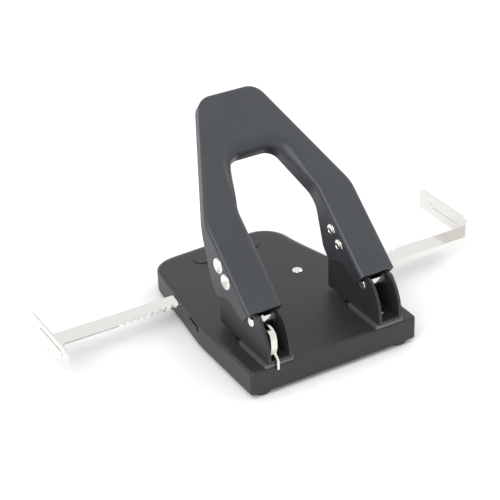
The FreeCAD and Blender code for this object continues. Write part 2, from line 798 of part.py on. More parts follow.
# ---------------------------------------------------------------- paper guide
def tooth_gap(x, y_sign):
    """One gap of a rack, cut from the tips down to the root."""
    lean = math.tan(math.radians(pressure_angle))
    half_gap = pitch / 4 + backlash / 2
    mouth = pitch_radius - rack_tip + tooth_mouth
    tip_half = half_gap + mouth * lean
    root_half = half_gap - (rack_root - pitch_radius) * lean
    tip_y = guide_y + y_sign * (rack_tip - tooth_mouth)
    root_y = guide_y + y_sign * rack_root
    points = [(x - tip_half, tip_y), (x + tip_half, tip_y), (x + root_half, root_y), (x - root_half, root_y)]
    face = Part.Face(Part.makePolygon([Vector(*point, bar_z - over) for point in points + points[:1]]))
    return face.extrude(Vector(0, 0, sheet + 2 * over))


def make_guide(x_sign, y_sign):
    """Toothed bar on one side of the pinion, with its stop plate beyond the base.

    The bar lies on the y_sign side of the pinion and its plate on the x_sign side.
    """
    edge = guide_y + y_sign * rack_tip
    back = edge + y_sign * bar_width
    y0, y1 = sorted((edge, back))
    x0, x1 = sorted((x_sign * stop_x, -x_sign * bar_inner_end))
    bar = box(x0, x1, y0, y1, bar_z, bar_z + sheet)
    inner_end = [item for item in bar.Edges if upright(item) and item.CenterOfMass.x * x_sign < 0]
    bar = bar.makeFillet(bar_corner, inner_end)
    lip_end = -x_sign * (bar_inner_end - lip_setback)
    lip_x = sorted((x_sign * stop_x, lip_end))
    lip_y = sorted((back, back - y_sign * sheet))
    lip = box(*lip_x, *lip_y, bar_z + sheet - bar_lip, bar_z + sheet)
    outer_x = x_sign * (stop_x + sheet)
    plate_x = sorted((x_sign * stop_x, outer_x))
    foot = box(*plate_x, y0, y1, bar_z, base_top + stop_above / 2)
    body = union([bar, lip, stop_plate(*plate_x), foot])
    ridge = bead(*sorted((outer_x + x_sign * bead_depth, outer_x - x_sign * EPS)), 0)
    recess = bead(*sorted((x_sign * (stop_x - over), x_sign * (stop_x + bead_depth))), bead_inset)
    count = int((first_tooth_x + bar_inner_end) / pitch) + 1
    gaps = [tooth_gap(x_sign * (first_tooth_x - index * pitch), y_sign) for index in range(count)]
    return union([body, ridge]).cut([recess] + gaps)


def stop_plate(x0, x1):
    half = stop_length / 2
    low = bar_z + sheet + stop_lift
    high = base_top + stop_above
    points = [(stop_middle_y - half, low), (stop_middle_y + half, low),
              (stop_middle_y + half, high), (stop_middle_y - half, high)]
    return side_plate(points, [stop_round / 2, stop_round / 2, stop_round, stop_round], x0, x1)


def bead(x0, x1, inset):
    """Pressed oblong that stiffens the stop plate."""
    half = bead_length / 2 - inset
    thick = bead_width / 2 - inset
    points = [(bead_y - half, base_top + bead_z - thick), (bead_y + half, base_top + bead_z - thick),
              (bead_y + half, base_top + bead_z + thick), (bead_y - half, base_top + bead_z + thick)]
    return side_plate(points, [thick - EPS] * 4, x0, x1)


def make_pinion():
    base_radius = pitch_radius * math.cos(math.radians(pressure_angle))
    outside = pitch_radius + pinion_addendum
    root = rack_tip - tooth_clearance
    half_angle = math.pi / 2 / pinion_teeth - backlash / 2 / pitch_radius
    involute = math.tan(math.radians(pressure_angle)) - math.radians(pressure_angle)
    flank = [(root, half_angle + involute)]
    for step in range(flank_steps + 1):
        radius = base_radius + (outside - base_radius) * step / flank_steps
        turn = math.acos(min(1.0, base_radius / radius))
        flank.append((radius, half_angle + involute - (math.tan(turn) - turn)))
    points = []
    for tooth in range(pinion_teeth):
        middle = math.pi / 2 + tooth * 2 * math.pi / pinion_teeth
        points += [(radius, middle - angle) for radius, angle in flank]
        points += [(radius, middle + angle) for radius, angle in reversed(flank)]
    low = bar_z - (pinion_height - sheet) / 2
    ring = [Vector(radius * math.cos(angle), guide_y + radius * math.sin(angle), low)
            for radius, angle in points]
    gear = Part.Face(Part.makePolygon(ring + [ring[0]])).extrude(Vector(0, 0, pinion_height))
    return gear.cut(rod(pinion_pin_radius + running, (0, guide_y, 0), base_top))


def bridge_high():
    return bar_z - bridge_gap - (pinion_height - sheet) / 2


def make_guide_bridge():
    reach = rack_tip + bar_width - sheet - bridge_setback
    points = [(-bridge_half, guide_y - reach), (bridge_half, guide_y - reach),
              (bridge_half, guide_y + reach), (-bridge_half, guide_y + reach)]
    face = Part.Face(rounded_wire(points, [bridge_corner] * 4, flat))
    face.translate(Vector(0, 0, bridge_high() - sheet))
    plate = face.extrude(Vector(0, 0, sheet))
    cuts = [rod(rivet_radius, (x_sign * bridge_rivet_x, guide_y, 0), base_top) for x_sign in (-1, 1)]
    cuts.append(rod(pinion_pin_radius, (0, guide_y, 0), base_top))
    return plate.cut(cuts)


def make_bridge_spacers():
    height = base_under - bridge_high()
    solids = []
    for x_sign in (-1, 1):
        place = (x_sign * bridge_rivet_x, guide_y, bridge_high())
        solids.append(rod(bridge_spacer_radius, place, height).cut(rod(rivet_radius, place, height)))
    return Part.makeCompound(solids)


def make_bridge_rivets():
    low = bridge_high() - sheet
    places = (-bridge_rivet_x, bridge_rivet_x)
    return Part.makeCompound([make_rivet(x, guide_y, low, base_top) for x in places])


def make_pinion_pin():
    low = bridge_high() - sheet
    shank = rod(pinion_pin_radius, (0, guide_y, low), base_top - low)
    narrow = pinion_head_radius - rivet_head_draft
    head = Part.makeCone(pinion_head_radius, narrow, rivet_head_height,
                         Vector(0, guide_y, base_top), Z_AXIS)
    foot = Part.makeCone(narrow, pinion_head_radius, rivet_head_height,
                         Vector(0, guide_y, low - rivet_head_height), Z_AXIS)
    return union([shank, head, foot])


# ---------------------------------------------------------------- chip tray
def tray_hinge_z():
    return foot_height + tray_hinge_rise


def make_chip_tray():
    low = foot_height + tray_lift
    high = low + tray_height
    span = box(-base_width, base_width, tray_front, tray_rear, low, high)
    inner_span = box(-base_width, base_width, tray_front + tray_wall, tray_rear - tray_wall,
                     low + tray_wall, high + over)
    outer = base_prism(tray_inset, low, high).common(span)
    inner = base_prism(tray_inset + tray_wall, low + tray_wall, high + over).common(inner_span)
    body = outer.cut(inner)
    pieces = [body]
    for x_sign in (-1, 1):
        x0, x1 = sorted((x_sign * tray_ear_x, x_sign * (tray_ear_x + tray_ear_thickness)))
        ear = box(x0, x1, tray_rear - EPS, tray_hinge_y, low, tray_hinge_z() + ear_half)
        pieces.append(ear)
        pieces.append(cross_rod(ear_half, x0, x1, tray_hinge_y, tray_hinge_z()))
    tongue_y = tray_front - tongue_reach
    pieces.append(box(-tongue_half, tongue_half, tongue_y, tray_front + EPS, low, low + tray_wall))
    body = union(pieces)
    bore = hinge_pin_radius + running
    return body.cut(cross_rod(bore, -hinge_ear_x, hinge_ear_x, tray_hinge_y, tray_hinge_z()))


def make_tray_hinge_bracket():
    outer = hinge_ear_x + sheet
    y0, y1 = tray_hinge_y - ear_half, tray_hinge_y + ear_half
    pieces = [box(-outer, outer, y0, y1, base_under - sheet, base_under)]
    for x_sign in (-1, 1):
        x0, x1 = sorted((x_sign * hinge_ear_x, x_sign * outer))
        pieces.append(box(x0, x1, y0, y1, tray_hinge_z(), base_under))
        pieces.append(cross_rod(ear_half, x0, x1, tray_hinge_y, tray_hinge_z()))
    body = union(pieces)
    return body.cut(cross_rod(hinge_pin_radius, -outer - over, outer + over, tray_hinge_y, tray_hinge_z()))


def make_tray_hinge_pin():
    reach = hinge_ear_x + sheet + hinge_pin_proud
    return cross_rod(hinge_pin_radius, -reach, reach, tray_hinge_y, tray_hinge_z())


# ---------------------------------------------------------------- writing
def sides():
    return (("left", -1), ("right", 1))


def build():
    nodes = {
        "base_plate": make_base_plate(),
        "tower_rivets": make_tower_rivets(),
        "die_rivets": make_die_rivets(),
        "handle": make_handle(),
        "lock_lever": make_lock_lever(),
        "guide_left": make_guide(-1, 1),
        "guide_right": make_guide(1, -1),
        "pinion": make_pinion(),
        "pinion_pin": make_pinion_pin(),
        "guide_bridge": make_guide_bridge(),
        "bridge_spacers": make_bridge_spacers(),
        "bridge_rivets": make_bridge_rivets(),
        "chip_tray": make_chip_tray(),
        "tray_hinge_bracket": make_tray_hinge_bracket(),
        "tray_hinge_pin": make_tray_hinge_pin(),
    }
    for name, x_sign in sides():
        x = x_sign * tower_x
        nodes["throat_spacer_" + name] = make_throat_spacer(x)
        nodes["tower_" + name] = make_tower(x)
        nodes["die_" + name] = make_die(x)
        nodes["punch_guide_" + name] = make_punch_guide(x)
        nodes["pivot_pin_" + name] = make_pivot_pin(x)
        nodes["punch_pin_" + name] = make_punch_pin(x)
        nodes["drive_pin_" + name] = make_drive_pin(x)
        nodes["spring_collar_" + name] = make_spring_collar(x)
        nodes["return_spring_" + name] = make_return_spring(x)
        nodes["lever_arm_" + name] = make_lever_arm(x)
        nodes["handle_rivets_" + name] = make_handle_rivets(x_sign)
        nodes["arm_spacers_" + name] = make_arm_spacers(x_sign)
        for place, (foot_x, foot_y) in (("front", front_foot), ("rear", rear_foot)):
            nodes["foot_" + place + "_" + name] = make_foot(x_sign * foot_x, foot_y)
    return nodes


def write(nodes):
    os.makedirs("parts", exist_ok=True)
    for name, shape in nodes.items():
        placed = shape.copy()
        placed.translate(Vector(0, -base_depth / 2, 0))
        placed.exportStep("parts/" + name + ".step")


write(build())
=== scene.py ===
"""Looks for a two-hole paper punch: paint, plating, rivets, rounded sheet edges and a bright table."""
import json
import math

import bmesh
import bpy
from bpy.props import FloatProperty, FloatVectorProperty, PointerProperty
from mathutils import Euler, Matrix, Vector

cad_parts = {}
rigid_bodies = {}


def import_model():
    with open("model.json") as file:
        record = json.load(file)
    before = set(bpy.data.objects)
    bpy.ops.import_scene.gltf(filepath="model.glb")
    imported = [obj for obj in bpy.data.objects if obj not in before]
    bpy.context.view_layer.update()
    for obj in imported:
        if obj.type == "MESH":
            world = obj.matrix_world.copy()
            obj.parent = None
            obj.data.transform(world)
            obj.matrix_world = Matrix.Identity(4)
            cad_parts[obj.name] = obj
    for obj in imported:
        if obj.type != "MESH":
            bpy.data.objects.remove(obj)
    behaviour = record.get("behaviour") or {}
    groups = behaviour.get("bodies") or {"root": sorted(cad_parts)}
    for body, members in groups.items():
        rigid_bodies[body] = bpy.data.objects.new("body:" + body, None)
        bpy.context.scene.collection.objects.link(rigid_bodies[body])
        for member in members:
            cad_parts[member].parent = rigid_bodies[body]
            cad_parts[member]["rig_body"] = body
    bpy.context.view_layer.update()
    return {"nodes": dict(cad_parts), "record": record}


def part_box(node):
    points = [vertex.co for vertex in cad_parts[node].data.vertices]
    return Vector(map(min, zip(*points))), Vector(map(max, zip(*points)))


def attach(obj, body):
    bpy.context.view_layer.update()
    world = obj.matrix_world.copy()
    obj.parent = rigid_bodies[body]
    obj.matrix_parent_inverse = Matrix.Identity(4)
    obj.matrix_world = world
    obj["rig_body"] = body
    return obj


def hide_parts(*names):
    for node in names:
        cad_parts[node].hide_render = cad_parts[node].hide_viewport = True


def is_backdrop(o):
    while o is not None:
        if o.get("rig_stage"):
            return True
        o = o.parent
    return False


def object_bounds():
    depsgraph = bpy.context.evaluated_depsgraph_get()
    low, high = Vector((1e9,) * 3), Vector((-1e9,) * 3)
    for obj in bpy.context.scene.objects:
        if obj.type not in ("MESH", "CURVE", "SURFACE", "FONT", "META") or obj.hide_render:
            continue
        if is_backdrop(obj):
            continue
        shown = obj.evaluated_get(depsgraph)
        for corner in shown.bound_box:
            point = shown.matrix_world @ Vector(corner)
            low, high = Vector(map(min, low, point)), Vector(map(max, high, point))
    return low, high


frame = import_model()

bl_info = {
    "name": "Paper punch looks",
    "version": (1, 0, 0),
    "blender": (4, 5, 0),
    "location": "View3D > Sidebar > Paper punch",
    "description": "Gives a two-hole paper punch its paint, plating, rivets and studio",
    "category": "Object",
}

MM = 0.001
FLAT_ANGLE = 0.3             # neighbouring faces within this angle become one, in degrees
X_AXIS = Vector((1, 0, 0))
# the arm spacers inside the towers are coloured black as painted shade of the towers' inside
PAINTED_SHADE_NODES = ["arm_spacers_left", "arm_spacers_right"]

# rivets, in millimetres
HANDLE_HEAD, HANDLE_RISE = 5.2, 1.4      # large head outside the leg
HANDLE_TAIL, HANDLE_DROP = 4.0, 1.1      # small head inside it
HANDLE_SHANK = 2.5
HANDLE_DIMPLE = 1.6
DIMPLE_DEPTH = 0.3
DIMPLE_SLOPE = 0.25
PLATE_HEAD, PLATE_SHANK = 3.5, 2.0       # rivets of the towers and the guide bridge
PIN_HEAD, PIN_SHANK = 3.9, 2.5           # the gear's pin
HEAD_RISE = 0.9
PLATE_STEPS = 32

# outline of a rivet's tail and domed head, as shares of its radius and height
TAIL_SHARES = ((0.78, 0.80), (0.95, 0.45), (1.0, 0.12), (1.0, 0.0))
DOME_SHARES = ((1.0, 0.14), (0.95, 0.42), (0.85, 0.64), (0.68, 0.82), (0.45, 0.93), (0.22, 0.98), (0, 1.0))

Z_AXIS = Vector((0, 0, 1))


# ---------------------------------------------------------------- shader maths
class Field:
    """A socket whose value Python's operators work on."""

    def __init__(self, finish, socket):
        self.finish = finish
        self.socket = socket

    def maths(self, operation, *values):
        return self.finish.node("ShaderNodeMath", {"operation": operation}, values)

    def __add__(self, other):
        return self.maths("ADD", self, other)

    __radd__ = __add__

    def __sub__(self, other):
        return self.maths("SUBTRACT", self, other)

    def __rsub__(self, other):
        return self.maths("SUBTRACT", other, self)

    def __mul__(self, other):
        return self.maths("MULTIPLY", self, other)

    __rmul__ = __mul__

    def clamp(self):
        return self.finish.node("ShaderNodeClamp", {}, (self, 0.0, 1.0))

    def step(self, low, high):
        """0 below low, 1 above high, smooth between them."""
        settings = {"interpolation_type": "SMOOTHSTEP"}
        return self.finish.node("ShaderNodeMapRange", settings, (self, low, high, 0.0, 1.0))


class Finish:
    """One material, built node by node around its shader."""

    def __init__(self, name, colour, roughness, metallic=0.0, specular=0.5):
        self.material = bpy.data.materials.new(name)
        self.material.use_nodes = True
        self.material.diffuse_color = (*colour, 1)
        self.tree = self.material.node_tree
        self.shader = self.tree.nodes["Principled BSDF"]
        self.put("Base Color", (*colour, 1))
        self.put("Roughness", roughness)
        self.put("Metallic", metallic)
        self.put("Specular IOR Level", specular)

    def put(self, socket, value):
        self.feed(self.shader.inputs[socket], value)

    def feed(self, target, value):
        if isinstance(value, Field):
            self.tree.links.new(value.socket, target)
        else:
            target.default_value = value

    def node(self, kind, settings=None, values=(), output=0):
        """Adds a node: its settings first, then its sockets by place or by name."""
        made = self.tree.nodes.new(kind)
        for key, value in (settings or {}).items():
            setattr(made, key, value)
        pairs = values.items() if isinstance(values, dict) else enumerate(values)
        for key, value in pairs:
            self.feed(made.inputs[key], value)
        return Field(self, made.outputs[output])

    def place(self):
        return self.node("ShaderNodeTexCoord", output="Object")

    def noise(self, scale, detail=2.0, stretch=(1, 1, 1), roughness=0.5):
        """Grey noise around 0.5, with that many features to the metre."""
        where = self.node("ShaderNodeMapping", {}, {"Vector": self.place(), "Scale": stretch})
        values = {"Vector": where, "Scale": scale, "Detail": detail, "Roughness": roughness}
        return self.node("ShaderNodeTexNoise", {}, values)

    def mix(self, share, first, second):
        """Colour between first and second."""
        settings = {"data_type": "RGBA", "clamp_factor": True}
        return self.node("ShaderNodeMix", settings, {0: share, 6: first, 7: second}, output=2)

    def bump(self, height, strength, distance, after=None):
        values = {"Strength": strength, "Distance": distance, "Height": height}
        if after:
            values["Normal"] = after
        return self.node("ShaderNodeBump", {}, values)

    def soft_edge(self, radius):
        """Normals that turn over an edge as over a small rounding."""
        return self.node("ShaderNodeBevel", {"samples": 6}, {"Radius": radius})


def tint(colour, factor, lift=0.0):
    return tuple(channel * factor + lift for channel in colour)


def shade(colour, factor, lift=0.0):
    """The same, with the alpha that a colour socket takes."""
    return tint(colour, factor, lift) + (1,)


# ---------------------------------------------------------------- finishes
def powder_coat(name, colour, roughness, grain, edge):
    """Textured paint: a pebbled skin with small glints, its bends rounded in the shading."""
    paint = Finish(name, colour, roughness, specular=0.62)
    cloud = paint.noise(30.0, 3.0)
    speck = paint.noise(grain * 1.6, 2.0)
    glint = speck.step(0.62, 0.74)
    tone = (cloud * 0.5 + speck * 0.6 - 0.05).clamp()
    body = paint.mix(tone, shade(colour, 0.72), shade(colour, 1.35, 0.002))
    paint.put("Base Color", paint.mix(glint * 0.5, body, shade(colour, 3.0, 0.02)))
    paint.put("Roughness", (roughness + (cloud - 0.5) * 0.12 + (speck - 0.5) * 0.22).clamp())
    pebble = paint.bump(paint.noise(grain, 3.0), 0.8, 0.00012, paint.soft_edge(edge))
    paint.put("Normal", paint.bump(paint.noise(110.0, 2.0), 0.12, 0.0002, pebble))
    return paint.material


def enamel(name, colour, roughness, edge):
    """Satin enamel with faint orange peel, dust and wiping marks."""
    paint = Finish(name, colour, roughness, specular=0.8)
    cloud = paint.noise(26.0, 3.0)
    wipe = paint.noise(55.0, 5.0, (1.0, 9.0, 9.0), 0.65).step(0.55, 0.75)
    dust = paint.noise(2300.0, 1.0).step(0.64, 0.76)
    body = paint.mix(cloud, shade(colour, 0.80), shade(colour, 1.30, 0.001))
    soiled = (dust * 0.30 + wipe * 0.12).clamp()
    paint.put("Base Color", paint.mix(soiled, body, shade(colour, 2.6, 0.02)))
    paint.put("Roughness", (roughness + (cloud - 0.5) * 0.10 + wipe * 0.08 + dust * 0.10).clamp())
    peel = paint.bump(paint.noise(480.0, 2.0), 0.20, 0.00010, paint.soft_edge(edge))
    paint.put("Normal", paint.bump(paint.noise(2600.0, 2.0), 0.16, 0.00003, peel))
    return paint.material


def plating(name, colour, roughness, stretch=(1, 1, 1), streak=0.12, stain=0.10, edge=0.0002):
    """Bright plated metal with rolling lines, hairlines and faint stains."""
    metal = Finish(name, colour, roughness, 1.0)
    line = metal.noise(240.0, 4.0, stretch, 0.6)
    hair = metal.noise(900.0, 2.0, stretch, 0.6).step(0.56, 0.74)
    mark = metal.noise(48.0, 4.0).step(0.48, 0.75)
    worn = (mark * 0.55 + hair * 0.25).clamp()
    metal.put("Base Color", metal.mix(worn, shade(colour, 1.0), shade(colour, 0.78)))
    metal.put("Roughness", (roughness + (line - 0.5) * streak + mark * stain + hair * 0.06).clamp())
    metal.put("Normal", metal.bump(line, 0.20, 0.00003, metal.soft_edge(edge)))
    return metal.material


def rubber(name, colour):
    """Matt moulded rubber that has picked up some dust."""
    skin = Finish(name, colour, 0.8, specular=0.3)
    grain = skin.noise(1700.0, 3.0)
    dust = skin.noise(130.0, 3.0).step(0.45, 0.8)
    skin.put("Base Color", skin.mix(dust * 0.5, shade(colour, 1.0), shade(colour, 1.9, 0.02)))
    skin.put("Roughness", (0.70 + grain * 0.2).clamp())
    skin.put("Normal", skin.bump(grain, 0.35, 0.00006))
    return skin.material


def moulded(name, colour):
    """Black plastic with a fine eroded grain and weak flow lines."""
    plastic = Finish(name, colour, 0.5, specular=0.4)
    grain = plastic.noise(1500.0, 3.0)
    flow = plastic.noise(22.0, 3.0, (1.0, 4.0, 1.0))
    plastic.put("Base Color", plastic.mix(flow, shade(colour, 0.8), shade(colour, 1.4, 0.004)))
    plastic.put("Roughness", (0.42 + grain * 0.18).clamp())
    plastic.put("Normal", plastic.bump(grain, 0.4, 0.00005))
    return plastic.material


# ---------------------------------------------------------------- mesh helpers
def new_piece(name, shape, material, body, nodes, crease=35.0):
    """An object from the bmesh that shape fills; it rides on a body and stands for nodes."""
    form = bmesh.new()
    shape(form)
    bmesh.ops.remove_doubles(form, verts=form.verts, dist=2e-6)
    bmesh.ops.dissolve_limit(form, angle_limit=math.radians(FLAT_ANGLE), verts=form.verts, edges=form.edges)
    bmesh.ops.recalc_face_normals(form, faces=form.faces)
    mesh = bpy.data.meshes.new(name)
    form.to_mesh(mesh)
    form.free()
    mesh.materials.append(material)
    mesh.shade_smooth()
    mesh.set_sharp_from_angle(angle=math.radians(crease))
    piece = bpy.data.objects.new(name, mesh)
    bpy.context.scene.collection.objects.link(piece)
    even = piece.modifiers.new("even_faces", "WEIGHTED_NORMAL")
    even.mode = "FACE_AREA"
    even.keep_sharp = True
    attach(piece, body)
    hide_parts(*nodes)
    return piece


def turn(form, outline, centre, axis, steps=48):
    """Turns an outline of (radius, distance along the axis) points, in mm, round the axis."""
    before = set(form.verts)
    line = [form.verts.new((radius * MM, 0, along * MM)) for radius, along in outline]
    edges = [form.edges.new(pair) for pair in zip(line, line[1:])]
    bmesh.ops.spin(form, geom=line + edges, cent=(0, 0, 0), axis=Z_AXIS, angle=math.tau, steps=steps,
                   use_merge=True, use_duplicate=False)
    turned = [vert for vert in form.verts if vert not in before]
    lay = Matrix.Translation(centre) @ Z_AXIS.rotation_difference(axis).to_matrix().to_4x4()
    bmesh.ops.transform(form, matrix=lay, verts=turned)


def rivet_outline(head, rise, shank, grip, tail, drop, dimple=0.0):
    """Half section of a rivet, in mm: its tail below 0, its grip, and its domed head above."""
    if dimple:
        floor = DIMPLE_DEPTH - drop
        end = [(0, floor), (dimple, floor), (dimple + DIMPLE_SLOPE, -drop)]
    else:
        end = [(0, -drop), (tail * 0.45, -drop * 0.96)]
    tail_side = [(tail * across, -drop * down) for across, down in TAIL_SHARES]
    shaft = [(shank, 0), (shank, grip), (head, grip)]
    dome = [(head * across, grip + rise * up) for across, up in DOME_SHARES]
    return end + tail_side + shaft + dome


def smooth_copy(node, material, crease=35.0):
    """A merged copy of a CAD node with smooth bends; it stands for the node."""
    source = frame["nodes"][node]
    name = node + "_finished"
    body = source["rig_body"]
    return new_piece(name, lambda form: form.from_mesh(source.data), material, body,
                     [node], crease)


def nodes_in(*slots):
    return [row["node"] for row in frame["record"]["subparts"] if row["material_slot"] in slots]


def finished(name, maker, *values):
    """The named material, made once."""
    return bpy.data.materials.get(name) or maker(name, *values)


# ---------------------------------------------------------------- settings
class PunchPaint(bpy.types.PropertyGroup):
    """Colours of the painted and plated pieces."""
    handle: FloatVectorProperty(name="Handle", description="Powder coat of the arch handle",
                                subtype="COLOR",
                                size=3, min=0, max=1, default=(0.022, 0.025, 0.030))
    base: FloatVectorProperty(name="Base", description="Enamel of the base plate", subtype="COLOR",
                              size=3, min=0, max=1, default=(0.036, 0.041, 0.046))
    towers: FloatVectorProperty(name="Towers", description="Enamel of the punch towers", subtype="COLOR",
                                size=3, min=0, max=1, default=(0.020, 0.022, 0.024))
    strips: FloatVectorProperty(name="Strips", description="Coat of the strips under the towers",
                                subtype="COLOR",
                                size=3, min=0, max=1, default=(0.070, 0.072, 0.076))
    # the arms' black is partly their own finish and partly painted shade inside the towers
    arms: FloatVectorProperty(name="Arms", description="Black finish of the lever arms", subtype="COLOR",
                              size=3, min=0, max=1, default=(0.008, 0.008, 0.009))
    nickel: FloatVectorProperty(name="Nickel", description="Plating of the guides and rivets",
                                subtype="COLOR",
                                size=3, min=0, max=1, default=(0.79, 0.765, 0.70))
    lever: FloatVectorProperty(name="Lock lever", description="Satin plating of the lock lever",
                               subtype="COLOR",
                               size=3, min=0, max=1, default=(0.80, 0.78, 0.70))
    steel: FloatVectorProperty(name="Steel", description="Plain and zinc plated steel", subtype="COLOR",
                               size=3, min=0, max=1, default=(0.62, 0.62, 0.61))
    brass: FloatVectorProperty(name="Gear brass", description="The guide's gear", subtype="COLOR",
                               size=3, min=0, max=1, default=(0.78, 0.60, 0.30))
    rubber: FloatVectorProperty(name="Rubber", description="The four feet", subtype="COLOR",
                                size=3, min=0, max=1, default=(0.022, 0.022, 0.022))
    plastic: FloatVectorProperty(name="Tray plastic", description="The chip tray", subtype="COLOR",
                                 size=3, min=0, max=1, default=(0.028, 0.028, 0.030))


class PunchSizes(bpy.types.PropertyGroup):
    """Sizes of the small details."""
    sheet_edge: FloatProperty(name="Sheet edge", description="Rounding of painted sheet edges",
                              unit="LENGTH",
                              subtype="DISTANCE", default=0.0003, min=0.00005, max=0.001, precision=5)
    coat_grain: FloatProperty(name="Coat grain", description="Pebbles of the powder coat to the metre",
                              default=1500.0, min=200.0, max=6000.0)
    coat_roughness: FloatProperty(name="Coat roughness", description="Roughness of the powder coat",
                                  default=0.40, min=0.05, max=1.0)
    enamel_roughness: FloatProperty(name="Enamel roughness", description="Roughness of the base's enamel",
                                    default=0.30, min=0.05, max=1.0)


class PunchStudio(bpy.types.PropertyGroup):
    """Table, light and camera."""
    table: FloatVectorProperty(name="Table", description="Colour of the table", subtype="COLOR",
                               size=3, min=0, max=1, default=(0.93, 0.93, 0.93))
    sky: FloatProperty(name="Room light", description="Strength of the even white room",
                       default=1.0, min=0.0, max=5.0)
    key: FloatProperty(name="Key light", description="Power of the large lamp at the front left, in watts",
                       default=9.0, min=0.0, max=200.0)
    side: FloatProperty(name="Side light", description="Power of the lamp at the right, in watts",
                        default=4.0, min=0.0, max=200.0)
    camera_place: FloatVectorProperty(name="Camera place", description="Camera from the part's origin",
                                      size=3,
                                      subtype="TRANSLATION", unit="LENGTH",
                                      default=(-0.4239, -0.7304, 0.5331))
    camera_turn: FloatVectorProperty(name="Camera turn", description="Camera's X, Y and Z angles", size=3,
                                     subtype="EULER", unit="ROTATION",
                                     default=tuple(math.radians(a) for a in (60.1075, 1.6861, -30.2857)))
    lens: FloatProperty(name="Lens", description="Focal length in mm on a 36 mm sensor",
                        default=109.3, min=10, max=300)


# ---------------------------------------------------------------- operators
class PUNCH_OT_coat_handle(bpy.types.Operator):
    """Powder coat the arch handle"""
    bl_idname = "punch.coat_handle"
    bl_label = "Coat the handle"

    def execute(self, context):
        colours, sizes = context.scene.punch_paint, context.scene.punch_sizes
        coat = finished("handle_powder_coat", powder_coat, tuple(colours.handle), sizes.coat_roughness,
                        sizes.coat_grain, sizes.sheet_edge)
        smooth_copy("handle", coat, 30.0)
        return {"FINISHED"}


class PUNCH_OT_enamel_base(bpy.types.Operator):
    """Enamel the base plate and the two towers"""
    bl_idname = "punch.enamel_base"
    bl_label = "Enamel the base and towers"

    def execute(self, context):
        colours, sizes = context.scene.punch_paint, context.scene.punch_sizes
        base = finished("base_enamel", enamel, tuple(colours.base), sizes.enamel_roughness,
                        sizes.sheet_edge)
        tower = finished("tower_enamel", enamel, tuple(colours.towers), sizes.enamel_roughness + 0.08,
                         sizes.sheet_edge)
        smooth_copy("base_plate", base, 30.0)
        for node in nodes_in("tower_enamel"):
            smooth_copy(node, tower, 30.0)
        return {"FINISHED"}


class PUNCH_OT_plate_guides(bpy.types.Operator):
    """Nickel plate the guide bars with their stop plates, and finish the gear between them"""
    bl_idname = "punch.plate_guides"
    bl_label = "Plate the guides"

    def execute(self, context):
        colours = context.scene.punch_paint
        nickel = finished("guide_nickel", plating, tuple(colours.nickel), 0.20, (0.3, 4.0, 4.0))
        for node in nodes_in("guide_nickel"):
            smooth_copy(node, nickel)
        brass = finished("gear_brass", plating, tuple(colours.brass), 0.34)
        for node in nodes_in("gear_brass"):
            smooth_copy(node, brass, 20.0)
        return {"FINISHED"}


class PUNCH_OT_plate_lever(bpy.types.Operator):
    """Satin plate the lock lever and coat the strips under the towers"""
    bl_idname = "punch.plate_lever"
    bl_label = "Plate the lock lever and strips"

    def execute(self, context):
        colours = context.scene.punch_paint
        lever = finished("lever_nickel", plating, tuple(colours.lever), 0.34, (4.0, 1.0, 1.0), 0.16, 0.14)
        strip = finished("strip_enamel", enamel, tuple(colours.strips), 0.36,
                         context.scene.punch_sizes.sheet_edge)
        for node in nodes_in("lever_nickel"):
            smooth_copy(node, lever)
        for node in nodes_in("spacer_steel"):
            smooth_copy(node, strip)
        return {"FINISHED"}


class PUNCH_OT_set_rivets(bpy.types.Operator):
    """Set domed rivets in the handle's legs, the towers, the guide bridge and the gear's pin"""
    bl_idname = "punch.set_rivets"
    bl_label = "Set the rivets"

    def execute(self, context):
        colours = context.scene.punch_paint
        bright = finished("rivet_nickel", plating, tint(colours.nickel, 1.14), 0.15, (1, 1, 1), 0.10,
                          0.08)
        self.handle_rivets(bright)
        self.upright_rivets("tower_rivets", bright, PLATE_HEAD, PLATE_SHANK)
        self.upright_rivets("bridge_rivets", bright, PLATE_HEAD, PLATE_SHANK)
        self.upright_rivets("pinion_pin", bright, PIN_HEAD, PIN_SHANK)
        for node in ("pivot_pin_left", "pivot_pin_right"):
            smooth_copy(node, bright)
        return {"FINISHED"}

    def handle_rivets(self, metal):
        """Large dome outside the leg, small head with a dimple inside it."""
        for node, outward in (("handle_rivets_left", -X_AXIS), ("handle_rivets_right", X_AXIS)):
            low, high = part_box(node)
            inner = min(abs(low.x), abs(high.x)) / MM + HANDLE_DROP
            grip = max(abs(low.x), abs(high.x)) / MM - HANDLE_RISE - inner
            reach = HANDLE_HEAD * MM
            places = [(low.y + reach, low.z + reach), (high.y - reach, high.z - reach)]
            outline = rivet_outline(HANDLE_HEAD, HANDLE_RISE, HANDLE_SHANK, grip, HANDLE_TAIL, HANDLE_DROP,
                                    HANDLE_DIMPLE)

            def shape(form, places=places, outward=outward, outline=outline, inner=inner):
                for y, z in places:
                    turn(form, outline, Vector((outward.x * inner * MM, y, z)), outward)

            new_piece(node + "_domed", shape, metal, "handle_arch", [node])

    def upright_rivets(self, node, metal, head, shank):
        """A grid of domed rivets or one, as far apart as the CAD node's box says."""
        low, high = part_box(node)
        reach = head * MM
        across = sorted({round(low.x + reach, 6), round(high.x - reach, 6)})
        along = sorted({round(low.y + reach, 6), round(high.y - reach, 6)})
        grip = (high.z - low.z) / MM - 2 * HEAD_RISE
        outline = rivet_outline(head, HEAD_RISE, shank, grip, head, HEAD_RISE)

        def shape(form):
            for x in across:
                for y in along:
                    turn(form, outline, Vector((x, y, low.z + HEAD_RISE * MM)), Z_AXIS, PLATE_STEPS)

        new_piece(node + "_domed", shape, metal, "base", [node])


